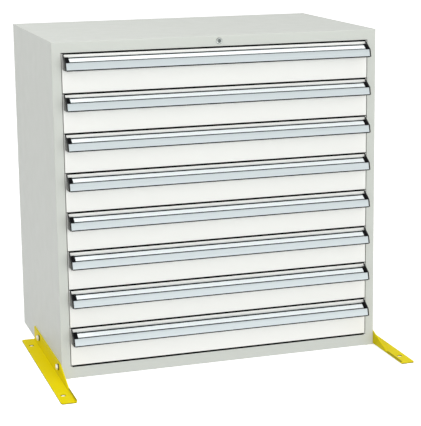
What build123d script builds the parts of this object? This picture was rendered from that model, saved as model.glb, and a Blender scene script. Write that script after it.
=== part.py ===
"""Industrial drawer cabinet: a folded sheet steel case, eight full-width drawers on telescopic
slides, a cylinder lock that bars all drawers at once, and two anti-tip floor brackets.

The frame has +X to the right and +Z up, seen from the front. The front looks along -Y.
The origin is on the floor, at the centre of the case's footprint.
"""

import os
from math import radians, sin

from build123d import *

# Case
case_width = 880.0
case_depth = 550.0
case_height = 880.0
case_sheet = 1.2
bend_radius = 2.4
stile_width = 24.0
top_rail_height = 27.5
bottom_rail_height = 32.5
frame_return = 16.0
rear_flange = 15.0
back_sheet = 1.0

# Drawer fronts
drawer_count = 8
front_gap = 3.0
front_depth = 18.0
front_sheet = 1.0
front_back_flange = 14.0
front_edge_radius = 1.5

# Trays
tray_sheet = 1.0
tray_bend = 2.2
tray_rear_gap = 40.0
tray_bottom_rise = 9.0
tray_head_gap = 11.0
tray_hem = 8.0
wall_seat_gap = 0.1

# Telescopic slides, three nested channels on each side of a drawer
slide_width = 12.7
slide_height = 45.5
slide_sheet = 1.2
slide_running_gap = 0.4
slide_side_clearance = 0.8
slide_setback = 25.0
slide_rear_gap = 25.0
slide_rise = 31.0
slide_flange_reach = 9.6
middle_setback = 2.0
middle_rear_gap = 18.0

# Slotted uprights that the slides hang on
post_width = 30.0
post_sheet = 1.5
front_post_setback = 53.0
rear_post_setback = 45.0
post_slot_width = 5.0
post_slot_height = 12.0
post_slots_per_drawer = 2

# Handles: reach is measured out from the front's face, drop is measured down from its top edge
label_edge_reach = 9.5
label_edge_drop = 7.5
ridge_reach = 29.0
ridge_drop = 19.5
lip_reach = 33.0
lip_drop = 39.0
ridge_radius = 1.6
handle_wall = 2.4
label_channel_depth = 1.0
label_bead_width = 1.6
handle_web_drop = 16.0
handle_flange_drop = 32.0
handle_flange = 2.2
cap_plate = 3.5
cap_tongue = 12.0
cap_tongue_height = 0.9
cap_proud = 0.6
cap_corner_radius = 2.2
cap_end_clearance = 0.5

# Lock
lock_bezel_radius = 8.6
lock_bezel_proud = 2.2
lock_bezel_chamfer = 0.8
lock_body_radius = 7.0
lock_body_length = 20.0
lock_nut_across = 20.0
lock_nut_thickness = 3.0
lock_hole_gap = 0.1
lock_running_gap = 0.3
plug_radius = 4.8
plug_recess = 0.5
plug_running_gap = 0.15
keyway_width = 1.4
keyway_height = 6.0
keyway_depth = 9.0
crank_radius = 9.0
crank_width = 8.0
crank_thickness = 2.5
crank_pin_radius = 2.0
crank_rest_angle = 45.0
pin_overreach = 1.0

# Lock link, a bar that slides sideways behind the top rail
link_thickness = 2.0
link_slot_clearance = 0.6
link_edge = 3.0
link_side_gap = 1.3
link_tab_thickness = 2.0
guide_width = 14.0
guide_sheet = 1.2
guide_bend = 1.6
guide_hook_rise = 5.0
guide_place_shares = (0.3, 0.8)

# Lock shaft, upright behind the right stile, with one finger for each drawer
shaft_setback = 40.0
shaft_radius = 4.0
shaft_bar_width = 8.0
shaft_journal_reach = 1.0
shaft_foot_rise = 11.5
shaft_ear_overlap = 3.0
finger_seat_gap = 0.1
finger_tip_gap = 5.5
finger_width = 7.0
finger_thickness = 2.5
catch_seat_gap = 0.1
catch_gap = 1.5
catch_thickness = 1.5
catch_reach = 10.0
catch_height = 14.0
catch_drop = 6.0
ear_thickness = 2.5
ear_edge = 4.0
ear_bore_gap = 0.3
shaft_pin_radius = 1.5

# Floor brackets
bracket_height = 40.0
bracket_reach = 40.0
bracket_sheet = 3.0
bracket_bend = 4.5
bracket_rear_setback = 182.0
bracket_overhang = 187.0
bracket_lip = 8.0
bracket_taper_overhang = 88.0
bracket_taper_setback = 10.0
bracket_tip_radius = 7.0
anchor_radius = 7.0
anchor_inset = 17.0
anchor_front_inset = 60.0
anchor_rear_inset = 60.0

# Bolts that hold the brackets to the case
bolt_radius = 4.0
bolt_hole_radius = 4.5
bolt_head_across = 13.0
bolt_head_height = 5.3
bolt_height = 26.5
bolt_front_setback = 29.0
bolt_rear_inset = 72.0
nut_thickness = 6.5

# One overrun serves all cuts
overrun = 5.0

# Planes of the case
case_half = case_width / 2
front_y = -case_depth / 2
rear_y = case_depth / 2
inner_side = case_half - case_sheet
opening_half = case_half - stile_width
opening_low = bottom_rail_height
opening_high = case_height - top_rail_height

# Fronts and trays, worked out for the top drawer
opening_height = opening_high - opening_low
front_height = (opening_height - front_gap * (drawer_count + 1)) / drawer_count
drawer_pitch = front_height + front_gap
front_half = opening_half - front_gap
front_high = opening_high - front_gap
front_low = front_high - front_height
front_back = front_y + front_depth
tray_low = front_low + tray_bottom_rise
tray_high = front_high - tray_head_gap
tray_front = front_back
tray_rear = rear_y - tray_rear_gap

# Slides
slide_outer = opening_half - slide_side_clearance
slide_inner = slide_outer - slide_width
slide_front = front_y + slide_setback
slide_rear = rear_y - slide_rear_gap
slide_centre = tray_low + slide_rise
tray_half = slide_inner
middle_half_height = slide_height / 2 - slide_sheet - slide_running_gap
runner_half_height = middle_half_height - slide_sheet - slide_running_gap
middle_outer = slide_outer - slide_sheet - slide_running_gap
runner_outer = middle_outer - slide_sheet - slide_running_gap

# Lock, centred in the height of the top rail, with its crank at rest down to the right
lock_height = (case_height + opening_high) / 2
crank_offset = crank_radius * sin(radians(crank_rest_angle))
plug_back = front_y + lock_body_length
crank_front = plug_back + lock_running_gap
crank_back = crank_front + crank_thickness
crank_pin_length = lock_running_gap + link_thickness + pin_overreach

# Link: its upright slot holds the crank pin, whose height changes by the travel as it turns
pin_travel = crank_radius - crank_offset
pin_slot_half = crank_pin_radius + link_slot_clearance
tab_slot_half = shaft_pin_radius + link_slot_clearance
link_front = crank_back + lock_running_gap
link_back = link_front + link_thickness
link_low = lock_height - crank_radius - pin_slot_half - link_edge
link_high = lock_height - crank_offset + pin_slot_half + link_edge

# Shaft: its crank lies under the link's tab. Its fingers rest forward in the stile's hollow and
# swing round in front of the trays' catches
tab_right = inner_side - link_side_gap
shaft_x = tab_right - link_edge - tab_slot_half - crank_offset
shaft_y = front_y + shaft_setback
shaft_low = opening_low + shaft_foot_rise
shaft_high = link_low - lock_running_gap
shaft_pin_length = lock_running_gap + link_tab_thickness + pin_overreach
finger_reach = shaft_x - tray_half - finger_tip_gap
catch_high = tray_high - catch_drop
catch_low = catch_high - catch_height
finger_low = (catch_low + catch_high - finger_thickness) / 2


def bent_sheet(points, radius, thickness, side):
    """Outline of a folded sheet whose outer face follows the points."""
    with BuildLine() as outline:
        FilletPolyline(*points, radius=radius)
        offset(amount=thickness, side=side)
    make_face(outline.edges())


def block(low, high, mode=Mode.ADD):
    """Rectangular block between two corners, added to the part that is being built."""
    with BuildSketch(Plane.XY.offset(low[2])) as section:
        with Locations(((low[0] + high[0]) / 2, (low[1] + high[1]) / 2)):
            Rectangle(high[0] - low[0], high[1] - low[1])
    extrude(section.sketch, amount=high[2] - low[2], mode=mode)


def write(piece, name):
    """Give a finished piece its name and write its file."""
    piece.label = name
    export_step(piece, f"parts/{name}.step")


os.makedirs("parts", exist_ok=True)

# Places of the bracket bolts and anchor holes
bracket_rear = rear_y - bracket_rear_setback
bracket_front = front_y - bracket_overhang
bolt_places = [
    (front_y + bolt_front_setback, bolt_height),
    (bracket_rear - bolt_rear_inset, bolt_height),
]
anchor_places = [
    (case_half + bracket_reach - anchor_inset, bracket_front + anchor_front_inset),
    (case_half + bracket_reach - anchor_inset, bracket_rear - anchor_rear_inset),
]

# Side panels: stile with its return, side sheet and rear flange, folded from one sheet
with BuildPart() as side_panels:
    with BuildSketch():
        bent_sheet(
            [
                (opening_half, front_y),
                (case_half, front_y),
                (case_half, rear_y),
                (case_half - rear_flange, rear_y),
            ],
            bend_radius,
            case_sheet,
            Side.LEFT,
        )
        with Locations((opening_half + case_sheet / 2, front_y + frame_return / 2)):
            Rectangle(case_sheet, frame_return)
    extrude(amount=case_height - case_sheet)
    with BuildSketch(Plane.XY.offset(case_height - bend_radius)):
        with Locations((case_half, front_y), (case_half, rear_y)):
            Rectangle(2 * stile_width + overrun, 2 * bend_radius)
    extrude(amount=bend_radius, mode=Mode.SUBTRACT)
    with BuildSketch(Plane.YZ.offset(inner_side - overrun)):
        with Locations(*bolt_places):
            Circle(bolt_hole_radius)
    extrude(amount=case_sheet + 2 * overrun, mode=Mode.SUBTRACT)
    mirror(about=Plane.YZ)
write(side_panels.part, "side_panels")

# Top panel: rear flange, top sheet and top rail with its return
with BuildPart() as top_panel:
    with BuildSketch(Plane.YZ):
        bent_sheet(
            [
                (rear_y, case_height - rear_flange),
                (rear_y, case_height),
                (front_y, case_height),
                (front_y, opening_high),
            ],
            bend_radius,
            case_sheet,
            Side.LEFT,
        )
        with Locations((front_y + frame_return / 2, opening_high + case_sheet / 2)):
            Rectangle(frame_return, case_sheet)
    extrude(amount=case_half, both=True)
    for side in (-1, 1):
        rail_cut = sorted((side * opening_half, side * (case_half + overrun)))
        block(
            (rail_cut[0], front_y - overrun, opening_high - overrun),
            (rail_cut[1], front_y + frame_return + overrun, case_height - bend_radius),
            Mode.SUBTRACT,
        )
        flange_cut = sorted((side * (case_half - rear_flange), side * (case_half + overrun)))
        block(
            (flange_cut[0], rear_y - rear_flange, opening_high - overrun),
            (flange_cut[1], rear_y + overrun, case_height - bend_radius),
            Mode.SUBTRACT,
        )
    with BuildSketch(Plane.XZ.offset(-front_y + overrun)):
        with Locations((0, lock_height)):
            Circle(lock_body_radius + lock_hole_gap)
    extrude(amount=-(case_sheet + 2 * overrun), mode=Mode.SUBTRACT)
    # Hooked guides under the sheet carry the lock link
    guide_front = link_front - lock_running_gap - guide_sheet
    guide_back = link_back + lock_running_gap + guide_sheet
    guide_low = link_low - lock_running_gap - guide_sheet
    for share in guide_place_shares:
        with BuildSketch(Plane.YZ.offset(share * opening_half - guide_width / 2)):
            bent_sheet(
                [
                    (guide_front, link_low + guide_hook_rise),
                    (guide_front, guide_low),
                    (guide_back, guide_low),
                    (guide_back, case_height - case_sheet),
                ],
                guide_bend,
                guide_sheet,
                Side.LEFT,
            )
        extrude(amount=guide_width)
write(top_panel.part, "top_panel")

# Base panel: bottom rail with its return and the base sheet
with BuildPart() as base_panel:
    with BuildSketch(Plane.YZ):
        bent_sheet(
            [
                (front_y, opening_low),
                (front_y, 0),
                (rear_y - bend_radius, 0),
            ],
            bend_radius,
            case_sheet,
            Side.LEFT,
        )
        with Locations((front_y + frame_return / 2, opening_low - case_sheet / 2)):
            Rectangle(frame_return, case_sheet)
    extrude(amount=opening_half, both=True)
    block(
        (-inner_side, front_y + frame_return, 0),
        (inner_side, rear_y - bend_radius, case_sheet),
    )
write(base_panel.part, "base_panel")

# Back panel: flat sheet against the rear flanges
with BuildPart() as back_panel:
    block(
        (-case_half + bend_radius, rear_y - case_sheet - back_sheet, 0),
        (case_half - bend_radius, rear_y - case_sheet, case_height - bend_radius),
    )
write(back_panel.part, "back_panel")

# Slotted posts: channels open towards the side panel, with a column of slots for the slides
slot_count = drawer_count * post_slots_per_drawer
post_starts = [
    front_y + front_post_setback,
    rear_y - rear_post_setback - post_width,
]
ear_lows = [
    shaft_low + shaft_ear_overlap,
    shaft_high - crank_thickness - lock_running_gap - ear_thickness,
]
ear_width = 2 * (shaft_radius + ear_bore_gap + ear_edge)
ear_start = shaft_y - ear_width / 2
with BuildPart() as slotted_posts:
    for start in post_starts:
        with BuildSketch(Plane.XY.offset(case_sheet)):
            with Locations(((slide_outer + inner_side) / 2, start + post_width / 2)):
                Rectangle(inner_side - slide_outer, post_width)
            with Locations(((slide_outer + inner_side + post_sheet) / 2, start + post_width / 2)):
                Rectangle(
                    inner_side - slide_outer - post_sheet,
                    post_width - 2 * post_sheet,
                    mode=Mode.SUBTRACT,
                )
        extrude(amount=case_height - 2 * case_sheet)
        with BuildSketch(Plane.YZ.offset(slide_outer - overrun)):
            with Locations((start + post_width / 2, (opening_low + opening_high) / 2)):
                with GridLocations(0, drawer_pitch / post_slots_per_drawer, 1, slot_count):
                    Rectangle(post_slot_width, post_slot_height)
        extrude(amount=post_sheet + overrun, mode=Mode.SUBTRACT)
    mirror(about=Plane.YZ)
    # The front right post carries two ears with the bores of the lock shaft
    for ear_low in ear_lows:
        with BuildSketch(Plane.XY.offset(ear_low)):
            with Locations((shaft_x, (ear_start + post_starts[0]) / 2)):
                Rectangle(ear_width, post_starts[0] - ear_start)
            with Locations((shaft_x, shaft_y)):
                Circle(shaft_radius + ear_bore_gap, mode=Mode.SUBTRACT)
        extrude(amount=ear_thickness)
write(slotted_posts.part, "slotted_posts")


def slide_channel(outer_face, reach, half_height, opens_inward):
    """Section of one slide member on the right side, in the XZ plane about the slide's centre."""
    with Locations((outer_face - reach / 2, slide_centre)):
        Rectangle(reach, 2 * half_height)
    hollow_shift = -slide_sheet / 2 if opens_inward else slide_sheet / 2
    with Locations((outer_face - reach / 2 + hollow_shift, slide_centre)):
        Rectangle(
            reach - slide_sheet,
            2 * (half_height - slide_sheet),
            mode=Mode.SUBTRACT,
        )


# Cabinet rails: the fixed members, one pair for each drawer
with BuildPart() as rail_pair:
    with BuildSketch(Plane.XZ.offset(-slide_front)):
        slide_channel(slide_outer, slide_flange_reach, slide_height / 2, True)
    extrude(amount=slide_front - slide_rear)
    mirror(about=Plane.YZ)
with BuildPart() as cabinet_rails:
    for step in range(drawer_count):
        with Locations((0, 0, -drawer_pitch * step)):
            add(rail_pair.part)
write(cabinet_rails.part, "cabinet_rails")

# Lock barrel: bezel, threaded body and ring nut, with the bore of the plug
with BuildPart() as lock_barrel:
    with BuildSketch(Plane.XZ.offset(-front_y)):
        with Locations((0, lock_height)):
            Circle(lock_bezel_radius)
    extrude(amount=lock_bezel_proud)
    chamfer(lock_barrel.faces().sort_by(Axis.Y)[0].edges(), length=lock_bezel_chamfer)
    with BuildSketch(Plane.XZ.offset(-front_y)):
        with Locations((0, lock_height)):
            Circle(lock_body_radius)
    extrude(amount=-lock_body_length)
    with BuildSketch(Plane.XZ.offset(-front_y + lock_bezel_proud + overrun)):
        with Locations((0, lock_height)):
            Circle(plug_radius + plug_running_gap)
    extrude(amount=-(lock_body_length + lock_bezel_proud + 2 * overrun), mode=Mode.SUBTRACT)
    with BuildSketch(Plane.XZ.offset(-front_y - case_sheet)):
        with Locations((0, lock_height)):
            RegularPolygon(lock_nut_across / 2, 6, major_radius=False)
            Circle(lock_body_radius, mode=Mode.SUBTRACT)
    extrude(amount=-lock_nut_thickness)
write(lock_barrel.part, "lock_barrel")

# Lock plug: cylinder with its keyway, and at the back a crank with a pin
crank_pin = (crank_offset, lock_height - crank_offset)
with BuildPart() as lock_plug:
    with BuildSketch(Plane.XZ.offset(-front_y + lock_bezel_proud - plug_recess)):
        with Locations((0, lock_height)):
            Circle(plug_radius)
    extrude(amount=-(lock_bezel_proud - plug_recess + crank_front - front_y))
    with BuildSketch(Plane.XZ.offset(-front_y + lock_bezel_proud - plug_recess)):
        with Locations((0, lock_height)):
            Rectangle(keyway_width, keyway_height)
    extrude(amount=-keyway_depth, mode=Mode.SUBTRACT)
    with BuildSketch(Plane.XZ.offset(-crank_front)):
        with Locations((0, lock_height), crank_pin):
            Circle(crank_width / 2)
        with BuildLine():
            Line((0, lock_height), crank_pin)
        trace(line_width=crank_width)
    extrude(amount=-crank_thickness)
    with BuildSketch(Plane.XZ.offset(-crank_back)):
        with Locations(crank_pin):
            Circle(crank_pin_radius)
    extrude(amount=-crank_pin_length)
write(lock_plug.part, "lock_plug")

# Lock link: bar with an upright slot for the crank pin and a flat slotted tab at its right end
shaft_pin = (shaft_x + crank_offset, shaft_y - crank_offset)
tab_left = shaft_pin[0] - tab_slot_half - link_edge
tab_rear = shaft_pin[1] + tab_slot_half + link_edge
with BuildPart() as lock_link:
    block(
        (crank_offset - pin_slot_half - link_edge, link_front, link_low),
        (tab_right, link_back, link_high),
    )
    block((tab_left, link_back, link_low), (tab_right, tab_rear, link_low + link_tab_thickness))
    with BuildSketch(Plane.XZ.offset(-link_front + overrun)):
        with Locations((crank_offset, (link_low + link_high) / 2)):
            Rectangle(2 * pin_slot_half, 2 * pin_slot_half + pin_travel)
    extrude(amount=-(link_thickness + 2 * overrun), mode=Mode.SUBTRACT)
    with BuildSketch(Plane.XY.offset(link_low - overrun)):
        with Locations((shaft_pin[0], shaft_pin[1] - pin_travel / 2)):
            Rectangle(2 * tab_slot_half, 2 * tab_slot_half + pin_travel)
    extrude(amount=link_tab_thickness + 2 * overrun, mode=Mode.SUBTRACT)
write(lock_link.part, "lock_link")

# Lock shaft: square bar with round journals in the ears, a crank with a pin at the top, and a
# finger plate on its front face beside each drawer
with BuildPart() as lock_shaft:
    with BuildSketch(Plane.XY.offset(shaft_low)):
        with Locations((shaft_x, shaft_y)):
            Circle(shaft_radius)
    extrude(amount=shaft_high - shaft_low)
    with BuildSketch(Plane.XY.offset(ear_lows[0] + ear_thickness + shaft_journal_reach)):
        with Locations((shaft_x, shaft_y)):
            Rectangle(shaft_bar_width, shaft_bar_width)
    extrude(amount=ear_lows[1] - ear_lows[0] - ear_thickness - 2 * shaft_journal_reach)
    with BuildSketch(Plane.XY.offset(shaft_high - crank_thickness)):
        with Locations((shaft_x, shaft_y), shaft_pin):
            Circle(crank_width / 2)
        with BuildLine():
            Line((shaft_x, shaft_y), shaft_pin)
        trace(line_width=crank_width)
    extrude(amount=crank_thickness)
    with BuildSketch(Plane.XY.offset(shaft_high)):
        with Locations(shaft_pin):
            Circle(shaft_pin_radius)
    extrude(amount=shaft_pin_length)
    for step in range(drawer_count):
        finger_foot = finger_low - drawer_pitch * step
        block(
            (shaft_x - finger_width / 2, shaft_y - finger_reach, finger_foot),
            (
                shaft_x + finger_width / 2,
                shaft_y - shaft_bar_width / 2 - finger_seat_gap,
                finger_foot + finger_thickness,
            ),
        )
write(lock_shaft.part, "lock_shaft")

# Floor brackets: angle with a tall flange on the case's side that tapers to a low lip in front
with BuildPart() as floor_brackets:
    with BuildSketch(Plane.XZ.offset(-bracket_rear)):
        bent_sheet(
            [
                (case_half, bracket_height),
                (case_half, 0),
                (case_half + bracket_reach, 0),
            ],
            bracket_bend,
            bracket_sheet,
            Side.LEFT,
        )
    extrude(amount=bracket_rear - bracket_front)
    with BuildSketch(Plane.YZ.offset(case_half - overrun)):
        with BuildLine():
            Polyline(
                (front_y + bracket_taper_setback, bracket_height),
                (front_y - bracket_taper_overhang, bracket_lip),
                (bracket_front - overrun, bracket_lip),
                (bracket_front - overrun, bracket_height + overrun),
                (front_y + bracket_taper_setback, bracket_height + overrun),
                close=True,
            )
        make_face()
    extrude(amount=bracket_reach + 2 * overrun, mode=Mode.SUBTRACT)
    outer_corners = (
        floor_brackets.edges()
        .filter_by(Axis.Z)
        .filter_by(lambda edge: edge.center().X > case_half + bracket_sheet + bracket_bend)
    )
    fillet(outer_corners, radius=bracket_tip_radius)
    with BuildSketch(Plane.XY.offset(-overrun)):
        with Locations(*anchor_places):
            Circle(anchor_radius)
    extrude(amount=bracket_sheet + 2 * overrun, mode=Mode.SUBTRACT)
    with BuildSketch(Plane.YZ.offset(case_half - overrun)):
        with Locations(*bolt_places):
            Circle(bolt_hole_radius)
    extrude(amount=bracket_sheet + 2 * overrun, mode=Mode.SUBTRACT)
    mirror(about=Plane.YZ)
write(floor_brackets.part, "floor_brackets")

# Bracket fasteners: at each place a hex bolt whose end is flush with its nut
with BuildPart() as bracket_fasteners:
    with BuildSketch(Plane.YZ.offset(case_half + bracket_sheet)):
        with Locations(*bolt_places):
            RegularPolygon(bolt_head_across / 2, 6, major_radius=False)
    extrude(amount=bolt_head_height)
    with BuildSketch(Plane.YZ.offset(inner_side)):
        with Locations(*bolt_places):
            Circle(bolt_radius)
    extrude(amount=case_sheet + bracket_sheet)
    with BuildSketch(Plane.YZ.offset(inner_side)):
        with Locations(*bolt_places):
            RegularPolygon(bolt_head_across / 2, 6, major_radius=False)
    extrude(amount=-nut_thickness)
    mirror(about=Plane.YZ)
write(bracket_fasteners.part, "bracket_fasteners")

# Drawer front: hollow pan with an inward flange all round its back
with BuildPart() as front:
    block((-front_half, front_y, front_low), (front_half, front_back, front_high))
    fillet(front.faces().sort_by(Axis.Y)[0].edges(), radius=front_edge_radius)
    block(
        (-front_half + front_sheet, front_y + front_sheet, front_low + front_sheet),
        (front_half - front_sheet, front_back - front_sheet, front_high - front_sheet),
        Mode.SUBTRACT,
    )
    block(
        (-front_half + front_back_flange, front_y + front_sheet, front_low + front_back_flange),
        (front_half - front_back_flange, front_back + overrun, front_high - front_back_flange),
        Mode.SUBTRACT,
    )

# Tray: bottom and hemmed side walls folded from one sheet, front and rear walls, and the catch
catch_face = shaft_y + finger_width / 2 + catch_gap
with BuildPart() as tray:
    with BuildSketch(Plane.XZ.offset(-tray_front)):
        bent_sheet(
            [
                (-tray_half, tray_high),
                (-tray_half, tray_low),
                (tray_half, tray_low),
                (tray_half, tray_high),
            ],
            tray_bend,
            tray_sheet,
            Side.LEFT,
        )
        for side in (-1, 1):
            with Locations((side * (tray_half - tray_hem / 2), tray_high - tray_sheet / 2)):
                Rectangle(tray_hem, tray_sheet)
    extrude(amount=tray_front - tray_rear)
    wall_half = tray_half - tray_bend
    for wall_start in (tray_front, tray_rear - tray_sheet):
        block(
            (-wall_half, wall_start, tray_low + tray_sheet + wall_seat_gap),
            (wall_half, wall_start + tray_sheet, tray_high - tray_sheet - wall_seat_gap),
        )
    block(
        (tray_half + catch_seat_gap, catch_face, catch_low),
        (tray_half + catch_reach, catch_face + catch_thickness, catch_high),
    )

# Runners: the drawer members of the slides, fixed on the tray's walls
with BuildPart() as runners:
    with BuildSketch(Plane.XZ.offset(-slide_front)):
        slide_channel(runner_outer, runner_outer - slide_inner, runner_half_height, False)
    extrude(amount=slide_front - tray_rear)
    mirror(about=Plane.YZ)

# Middle rails: the members between the fixed rails and the runners
with BuildPart() as middle_rails:
    with BuildSketch(Plane.XZ.offset(-slide_front - middle_setback)):
        slide_channel(middle_outer, slide_flange_reach, middle_half_height, True)
    extrude(amount=slide_front + middle_setback + middle_rear_gap - slide_rear)
    mirror(about=Plane.YZ)

# Handle: one extruded section with a label channel on its slope, a grip lip and a rear flange
cap_half = front_half - cap_end_clearance
handle_half = cap_half - cap_plate


def grip_point(reach, drop):
    """Point of the handle's section in the YZ plane."""
    return (front_y - reach, front_high - drop)


label_edge = Vector(*grip_point(label_edge_reach, label_edge_drop))
ridge = Vector(*grip_point(ridge_reach, ridge_drop))
slope = (ridge - label_edge).normalized()
slope_normal = Vector(slope.Y, -slope.X)
if slope_normal.Y > 0:
    slope_normal = -slope_normal
slope_length = (ridge - label_edge).length


def slope_point(along, depth):
    """Point at a distance along the label slope and a depth under its face."""
    place = label_edge + slope * along + slope_normal * depth
    return (place.X, place.Y)


with BuildPart() as handle:
    with BuildSketch(Plane.YZ):
        bent_sheet(
            [
                grip_point(label_edge_reach, label_edge_drop),
                grip_point(ridge_reach, ridge_drop),
                grip_point(lip_reach, lip_drop),
            ],
            ridge_radius + handle_wall,
            handle_wall,
            Side.LEFT,
        )
        with BuildLine():
            Polyline(
                grip_point(0, handle_flange_drop),
                grip_point(0, handle_web_drop - handle_flange),
                slope_point(handle_wall, handle_wall / 2),
                slope_point(2 * handle_wall, handle_wall / 2),
                grip_point(handle_flange, handle_web_drop),
                grip_point(handle_flange, handle_flange_drop),
                close=True,
            )
        make_face()
        with BuildLine():
            Polyline(
                slope_point(label_bead_width, -overrun),
                slope_point(label_bead_width, label_channel_depth),
                slope_point(slope_length - ridge_radius - label_bead_width, label_channel_depth),
                slope_point(slope_length - ridge_radius - label_bead_width, -overrun),
                close=True,
            )
        make_face(mode=Mode.SUBTRACT)
    extrude(amount=handle_half, both=True)

# End caps: plate that closes the section's end, with a tongue over the end of the label slope
with BuildPart() as end_caps:
    with BuildSketch(Plane.YZ.offset(handle_half)) as cap_outline:
        with BuildLine():
            Polyline(
                grip_point(0, lip_drop),
                grip_point(0, ridge_drop - ridge_reach * slope.Y / slope.X - cap_proud),
                grip_point(ridge_reach + cap_proud, ridge_drop - cap_proud),
                grip_point(lip_reach + cap_proud, lip_drop),
                close=True,
            )
        make_face()
        lip_corner = cap_outline.vertices().sort_by(Axis.Y)[:2].sort_by(Axis.X)[0]
        fillet(lip_corner, radius=cap_corner_radius)
    extrude(amount=cap_plate)
    with BuildSketch(Plane.YZ.offset(handle_half)):
        with BuildLine():
            Polyline(
                slope_point(0, 0),
                slope_point(slope_length - ridge_radius, 0),
                slope_point(slope_length - ridge_radius, -cap_tongue_height),
                slope_point(0, -cap_tongue_height),
                close=True,
            )
        make_face()
    extrude(amount=-cap_tongue)
    mirror(about=Plane.YZ)

drawer_pieces = {
    "front": front,
    "tray": tray,
    "runners": runners,
    "middle_rails": middle_rails,
    "handle": handle,
    "end_caps": end_caps,
}
for step in range(drawer_count):
    for piece_name, piece in drawer_pieces.items():
        with BuildPart() as placed:
            with Locations((0, 0, -drawer_pitch * step)):
                add(piece.part)
        write(placed.part, f"drawer_{step + 1}_{piece_name}")
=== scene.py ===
"""Looks of an industrial drawer cabinet: painted steel case, eight drawers with extruded label
handles, cylinder lock and yellow floor brackets, in a pale studio.

All sizes are in metres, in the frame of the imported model.
"""

import math

import bmesh
import bpy
from bpy.props import FloatProperty, FloatVectorProperty, IntProperty, PointerProperty
from mathutils import Matrix, Vector


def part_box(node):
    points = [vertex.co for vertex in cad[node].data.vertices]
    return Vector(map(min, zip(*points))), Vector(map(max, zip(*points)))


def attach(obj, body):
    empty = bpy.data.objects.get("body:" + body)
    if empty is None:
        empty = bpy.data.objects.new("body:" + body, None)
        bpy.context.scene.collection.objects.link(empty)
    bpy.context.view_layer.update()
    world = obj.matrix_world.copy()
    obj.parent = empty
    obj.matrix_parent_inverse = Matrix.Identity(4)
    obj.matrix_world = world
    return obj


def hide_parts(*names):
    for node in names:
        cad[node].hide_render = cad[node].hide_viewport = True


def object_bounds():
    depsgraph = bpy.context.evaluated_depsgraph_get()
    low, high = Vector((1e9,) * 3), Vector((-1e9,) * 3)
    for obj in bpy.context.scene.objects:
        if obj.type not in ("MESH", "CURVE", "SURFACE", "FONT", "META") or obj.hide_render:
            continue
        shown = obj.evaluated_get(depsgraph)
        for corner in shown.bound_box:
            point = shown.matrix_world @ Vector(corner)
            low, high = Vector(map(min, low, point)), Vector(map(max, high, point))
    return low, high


bl_info = {
    "name": "Drawer Cabinet Looks",
    "version": (1, 0, 0),
    "blender": (4, 5, 0),
    "location": "View3D > Sidebar > Drawer Cabinet",
    "description": "Dresses the packed drawer cabinet and sets it in a pale studio",
    "category": "Object",
}

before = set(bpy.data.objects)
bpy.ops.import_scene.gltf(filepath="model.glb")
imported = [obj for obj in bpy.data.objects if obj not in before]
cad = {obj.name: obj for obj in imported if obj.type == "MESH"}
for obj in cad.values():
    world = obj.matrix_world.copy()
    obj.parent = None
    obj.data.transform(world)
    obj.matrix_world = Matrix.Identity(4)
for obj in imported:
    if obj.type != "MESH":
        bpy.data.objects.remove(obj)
drawer_count = sum(1 for name in cad if name.endswith("_front"))
front_low, front_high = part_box("drawer_1_front")
drawer_pitch = front_low.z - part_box("drawer_2_front")[0].z
face_y = front_low.y
cabinet_low, cabinet_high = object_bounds()
along_x, along_y = (0, math.radians(90), 0), (math.radians(90), 0, 0)


def colour(name, description, value):
    """Colour setting with its default."""
    return FloatVectorProperty(
        name=name, description=description, default=value, subtype="COLOR", size=3, min=0, max=1
    )


def length(name, description, value):
    """Length setting with its default, in metres."""
    return FloatProperty(
        name=name, description=description, default=value, unit="LENGTH", precision=5, min=0
    )


def angle(name, description, degrees):
    """Angle setting with its default, in degrees."""
    return FloatProperty(
        name=name, description=description, default=math.radians(degrees), subtype="ANGLE"
    )


def power(name, description, watts):
    """Light power setting with its default, in watts."""
    return FloatProperty(name=name, description=description, default=watts, unit="POWER")


def number(name, description, value):
    """Plain number setting with its default."""
    return FloatProperty(name=name, description=description, default=value)


class FinishSettings(bpy.types.PropertyGroup):
    """Colours of the paints, metals and plastics."""

    case_paint: colour("Case paint", "Powder coat of the case", (0.592, 0.617, 0.573))
    drawer_paint: colour("Drawer paint", "Powder coat of the drawers", (0.895, 0.90, 0.865))
    bracket_paint: colour("Bracket paint", "Powder coat of the brackets", (0.83, 0.69, 0.0))
    aluminium: colour("Aluminium", "Anodised handle extrusion", (0.668, 0.736, 0.752))
    label_card: colour("Label card", "Blank card in the label channel", (0.912, 0.972, 0.98))
    cap_plastic: colour("Cap plastic", "End caps of the handles", (0.005, 0.005, 0.006))
    # This black paints shade: it colours the strips in the gaps above the fronts and along the
    # lips' lower edges.
    seal_rubber: colour("Seal rubber", "Dust seals and lip trims", (0.004, 0.004, 0.004))
    galvanised: colour("Galvanised steel", "Posts and lock rods", (0.60, 0.62, 0.63))
    slide_zinc: colour("Slide zinc", "Telescopic slides", (0.66, 0.68, 0.69))
    bolt_zinc: colour("Bolt zinc", "Bolts, nuts and rivets", (0.97, 0.97, 0.95))
    chrome: colour("Chrome", "Bezel and barrel of the lock", (0.50, 0.53, 0.51))
    lock_face: colour("Lock face", "Turning plug of the lock", (0.17, 0.19, 0.18))
    washer_steel: colour("Washer steel", "Blackened washers", (0.03, 0.03, 0.028))
    grain: length("Powder grain", "Size of the powder coat's ripples", 0.0012)


class FrontSettings(bpy.types.PropertyGroup):
    """Sizes of the drawer fronts."""

    edge_radius: length("Edge radius", "Rounding of the front's edges", 0.001)
    side_reach: length("Side reach", "How far a front's sides stand past the solid's", 0.001)
    flange: length("Rear flange", "Width of the flange folded in at the back", 0.014)
    sheet: length("Sheet", "Thickness of the sheet", 0.001)
    # The seal is a black strip that paints shade into the gap above each front.
    shade_strip_height: length("Seal height", "Height of the dust seal on a front's top edge", 0.0016)
    shade_strip_drop: length("Seal drop", "How far the dust seal hangs over the front's face", 0.0017)
    shade_strip_depth: length("Seal depth", "Depth of the dust seal from front to back", 0.0125)


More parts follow.
